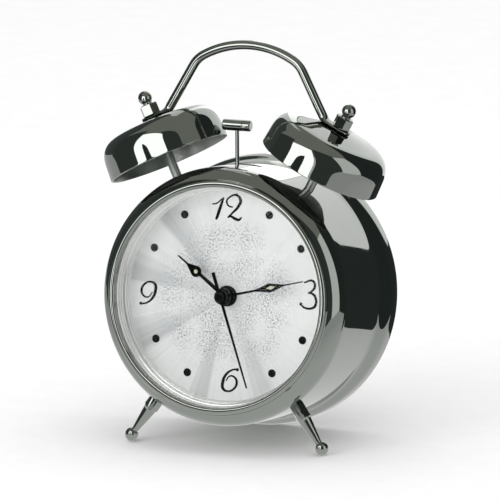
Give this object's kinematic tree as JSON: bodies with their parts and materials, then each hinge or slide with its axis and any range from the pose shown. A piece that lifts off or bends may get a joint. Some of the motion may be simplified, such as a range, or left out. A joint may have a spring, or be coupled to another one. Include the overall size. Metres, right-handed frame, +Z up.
{
  "type": "alarm clock",
  "caption": "Round polished metal alarm clock with a domed lens and numbered dial, twin bells struck by a swinging hammer, an arched handle, ball feet and a rear cover with setting knobs.",
  "frame": {"origin": "on the table, under the middle of the clock's box", "axes": "+Z up from the table, +Y to the back of the clock, +X to the right as seen from the front; the drum leans back about 9.2 degrees on two ball feet and its rear rim"},
  "size_m": [0.1256, 0.08, 0.1699],
  "materials": {
    "nickel": "mirror-polished nickel plate",
    "steel": "zinc-plated steel",
    "lens_glass": "clear domed lens",
    "silver_dial": "silvered sunburst",
    "black_plastic": "fine satin",
    "grey_plastic": "satin",
    "black_paint": "gloss black",
    "white_plastic": "natural acetal",
    "brass": "turned",
    "magnet": "sintered magnet",
    "copper_coil": "enamelled copper winding",
    "board_green": "solder mask",
    "battery_jacket": "plain cell jacket"
  },
  "bodies": {
    "clock": {"ball_nut_left": "nickel", "ball_nut_right": "nickel", "battery_box": "black_plastic", "battery_contacts": "steel", "battery_lower": "battery_jacket", "battery_upper": "battery_jacket", "bell_left": "nickel", "bell_post_left": "nickel", "bell_post_nuts": "steel", "bell_post_right": "nickel", "bell_right": "nickel", "bezel_ring": "nickel", "bracket_screws": "steel", "bridge_plate": "grey_plastic", "case_drum": "nickel", "centre_nut": "black_paint", "circuit_board": "board_green", "coil": "copper_coil", "cover_screws": "steel", "dial": "silver_dial", "dial_ring": "silver_dial", "foot_left": "nickel", "foot_nuts": "steel", "foot_right": "nickel", "frame_screws": "steel", "hammer_bracket": "grey_plastic", "handle": "nickel", "inner_frame": "black_plastic", "lens": "lens_glass", "motor": "steel", "movement_front": "grey_plastic", "movement_rear": "grey_plastic", "movement_screws": "steel", "pivot_pin": "steel", "rear_cover": "black_plastic", "spacer_posts": "steel", "stator": "steel", "switch_body": "black_plastic"},
    "second": {"second_arbor": "brass", "second_hand": "black_paint"},
    "minute": {"minute_arbor": "brass", "minute_hand": "black_paint"},
    "hour": {"hour_wheel": "white_plastic", "hour_hand": "black_paint"},
    "alarm": {"alarm_wheel": "white_plastic", "alarm_hand": "black_paint"},
    "motion": {"motion_wheel": "white_plastic"},
    "third": {"third_wheel": "white_plastic"},
    "fourth": {"fourth_wheel": "white_plastic"},
    "rotor_body": {"rotor": "magnet"},
    "time_set": {"time_arbor": "brass", "time_knob": "black_plastic"},
    "alarm_set": {"alarm_arbor": "brass", "alarm_knob": "black_plastic"},
    "crank": {"crank_gear": "white_plastic"},
    "drive": {"motor_pinion": "brass"},
    "hammer": {"hammer_arm": "nickel", "hammer_head": "nickel"},
    "switch": {"alarm_switch": "black_plastic"},
    "door": {"battery_door": "black_plastic"}
  },
  "joints": [
    {"name": "second_spin", "type": "hinge", "parent": "clock", "child": "second", "pos_m": [0, -0.03131, 0.06724], "axis": [0, 0.9872, -0.1597], "continuous": true},
    {"name": "minute_spin", "type": "hinge", "parent": "clock", "child": "minute", "pos_m": [0, -0.03131, 0.06724], "axis": [0, 0.9872, -0.1597], "continuous": true},
    {"name": "hour_spin", "type": "hinge", "parent": "clock", "child": "hour", "pos_m": [0, -0.03131, 0.06724], "axis": [0, 0.9872, -0.1597], "continuous": true},
    {"name": "alarm_hand_spin", "type": "hinge", "parent": "clock", "child": "alarm", "pos_m": [0, -0.03131, 0.06724], "axis": [0, 0.9872, -0.1597], "continuous": true},
    {"name": "motion_wheel_spin", "type": "hinge", "parent": "clock", "child": "motion", "pos_m": [0.0065, -0.00962, 0.05604], "axis": [0, 0.9872, -0.1597], "continuous": true},
    {"name": "third_wheel_spin", "type": "hinge", "parent": "clock", "child": "third", "pos_m": [0, -0.01003, 0.05347], "axis": [0, 0.9872, -0.1597], "continuous": true},
    {"name": "fourth_wheel_spin", "type": "hinge", "parent": "clock", "child": "fourth", "pos_m": [-0.0051, -0.00699, 0.07226], "axis": [0, 0.9872, -0.1597], "continuous": true},
    {"name": "rotor_spin", "type": "hinge", "parent": "clock", "child": "rotor_body", "pos_m": [-0.0116, -0.00639, 0.07596], "axis": [0, 0.9872, -0.1597], "continuous": true},
    {"name": "time_knob_spin", "type": "hinge", "parent": "clock", "child": "time_set", "pos_m": [0.013, 0.02931, 0.05744], "axis": [0, 0.9872, -0.1597], "continuous": true},
    {"name": "alarm_knob_spin", "type": "hinge", "parent": "clock", "child": "alarm_set", "pos_m": [-0.013, 0.02931, 0.05744], "axis": [0, 0.9872, -0.1597], "continuous": true},
    {"name": "crank_spin", "type": "hinge", "parent": "clock", "child": "crank", "pos_m": [-0.0026, -0.00928, 0.09255], "axis": [0, 0.9872, -0.1597], "continuous": true},
    {"name": "motor_pinion_spin", "type": "hinge", "parent": "clock", "child": "drive", "pos_m": [0.007, -0.00928, 0.09255], "axis": [0, 0.9872, -0.1597], "continuous": true},
    {"name": "hammer_swing", "type": "hinge", "parent": "clock", "child": "hammer", "pos_m": [-0.0026, 0.00146, 0.10196], "axis": [0, 0.9872, -0.1597], "range_deg": [0, 14]},
    {"name": "alarm_switch_slide", "type": "slide", "parent": "clock", "child": "switch", "axis": [1, 0, 0], "range_m": [0, 0.005]},
    {"name": "battery_door_hinge", "type": "hinge", "parent": "clock", "child": "door", "pos_m": [0, 0.02225, 0.01887], "axis": [-1, 0, 0], "range_deg": [0, 95]}
  ],
  "couplings": [
    {"joint": "minute_spin", "follows": "second_spin", "ratio": 0.016667},
    {"joint": "hour_spin", "follows": "second_spin", "ratio": 0.0013889},
    {"joint": "third_wheel_spin", "follows": "second_spin", "ratio": -0.13333},
    {"joint": "motion_wheel_spin", "follows": "second_spin", "ratio": -0.0055556},
    {"joint": "fourth_wheel_spin", "follows": "second_spin", "ratio": -7.5},
    {"joint": "rotor_spin", "follows": "second_spin", "ratio": 30},
    {"joint": "time_knob_spin", "follows": "second_spin", "ratio": 0.016667},
    {"joint": "alarm_hand_spin", "follows": "alarm_knob_spin", "ratio": -0.47727},
    {"joint": "motor_pinion_spin", "follows": "crank_spin", "ratio": -5}
  ]
}
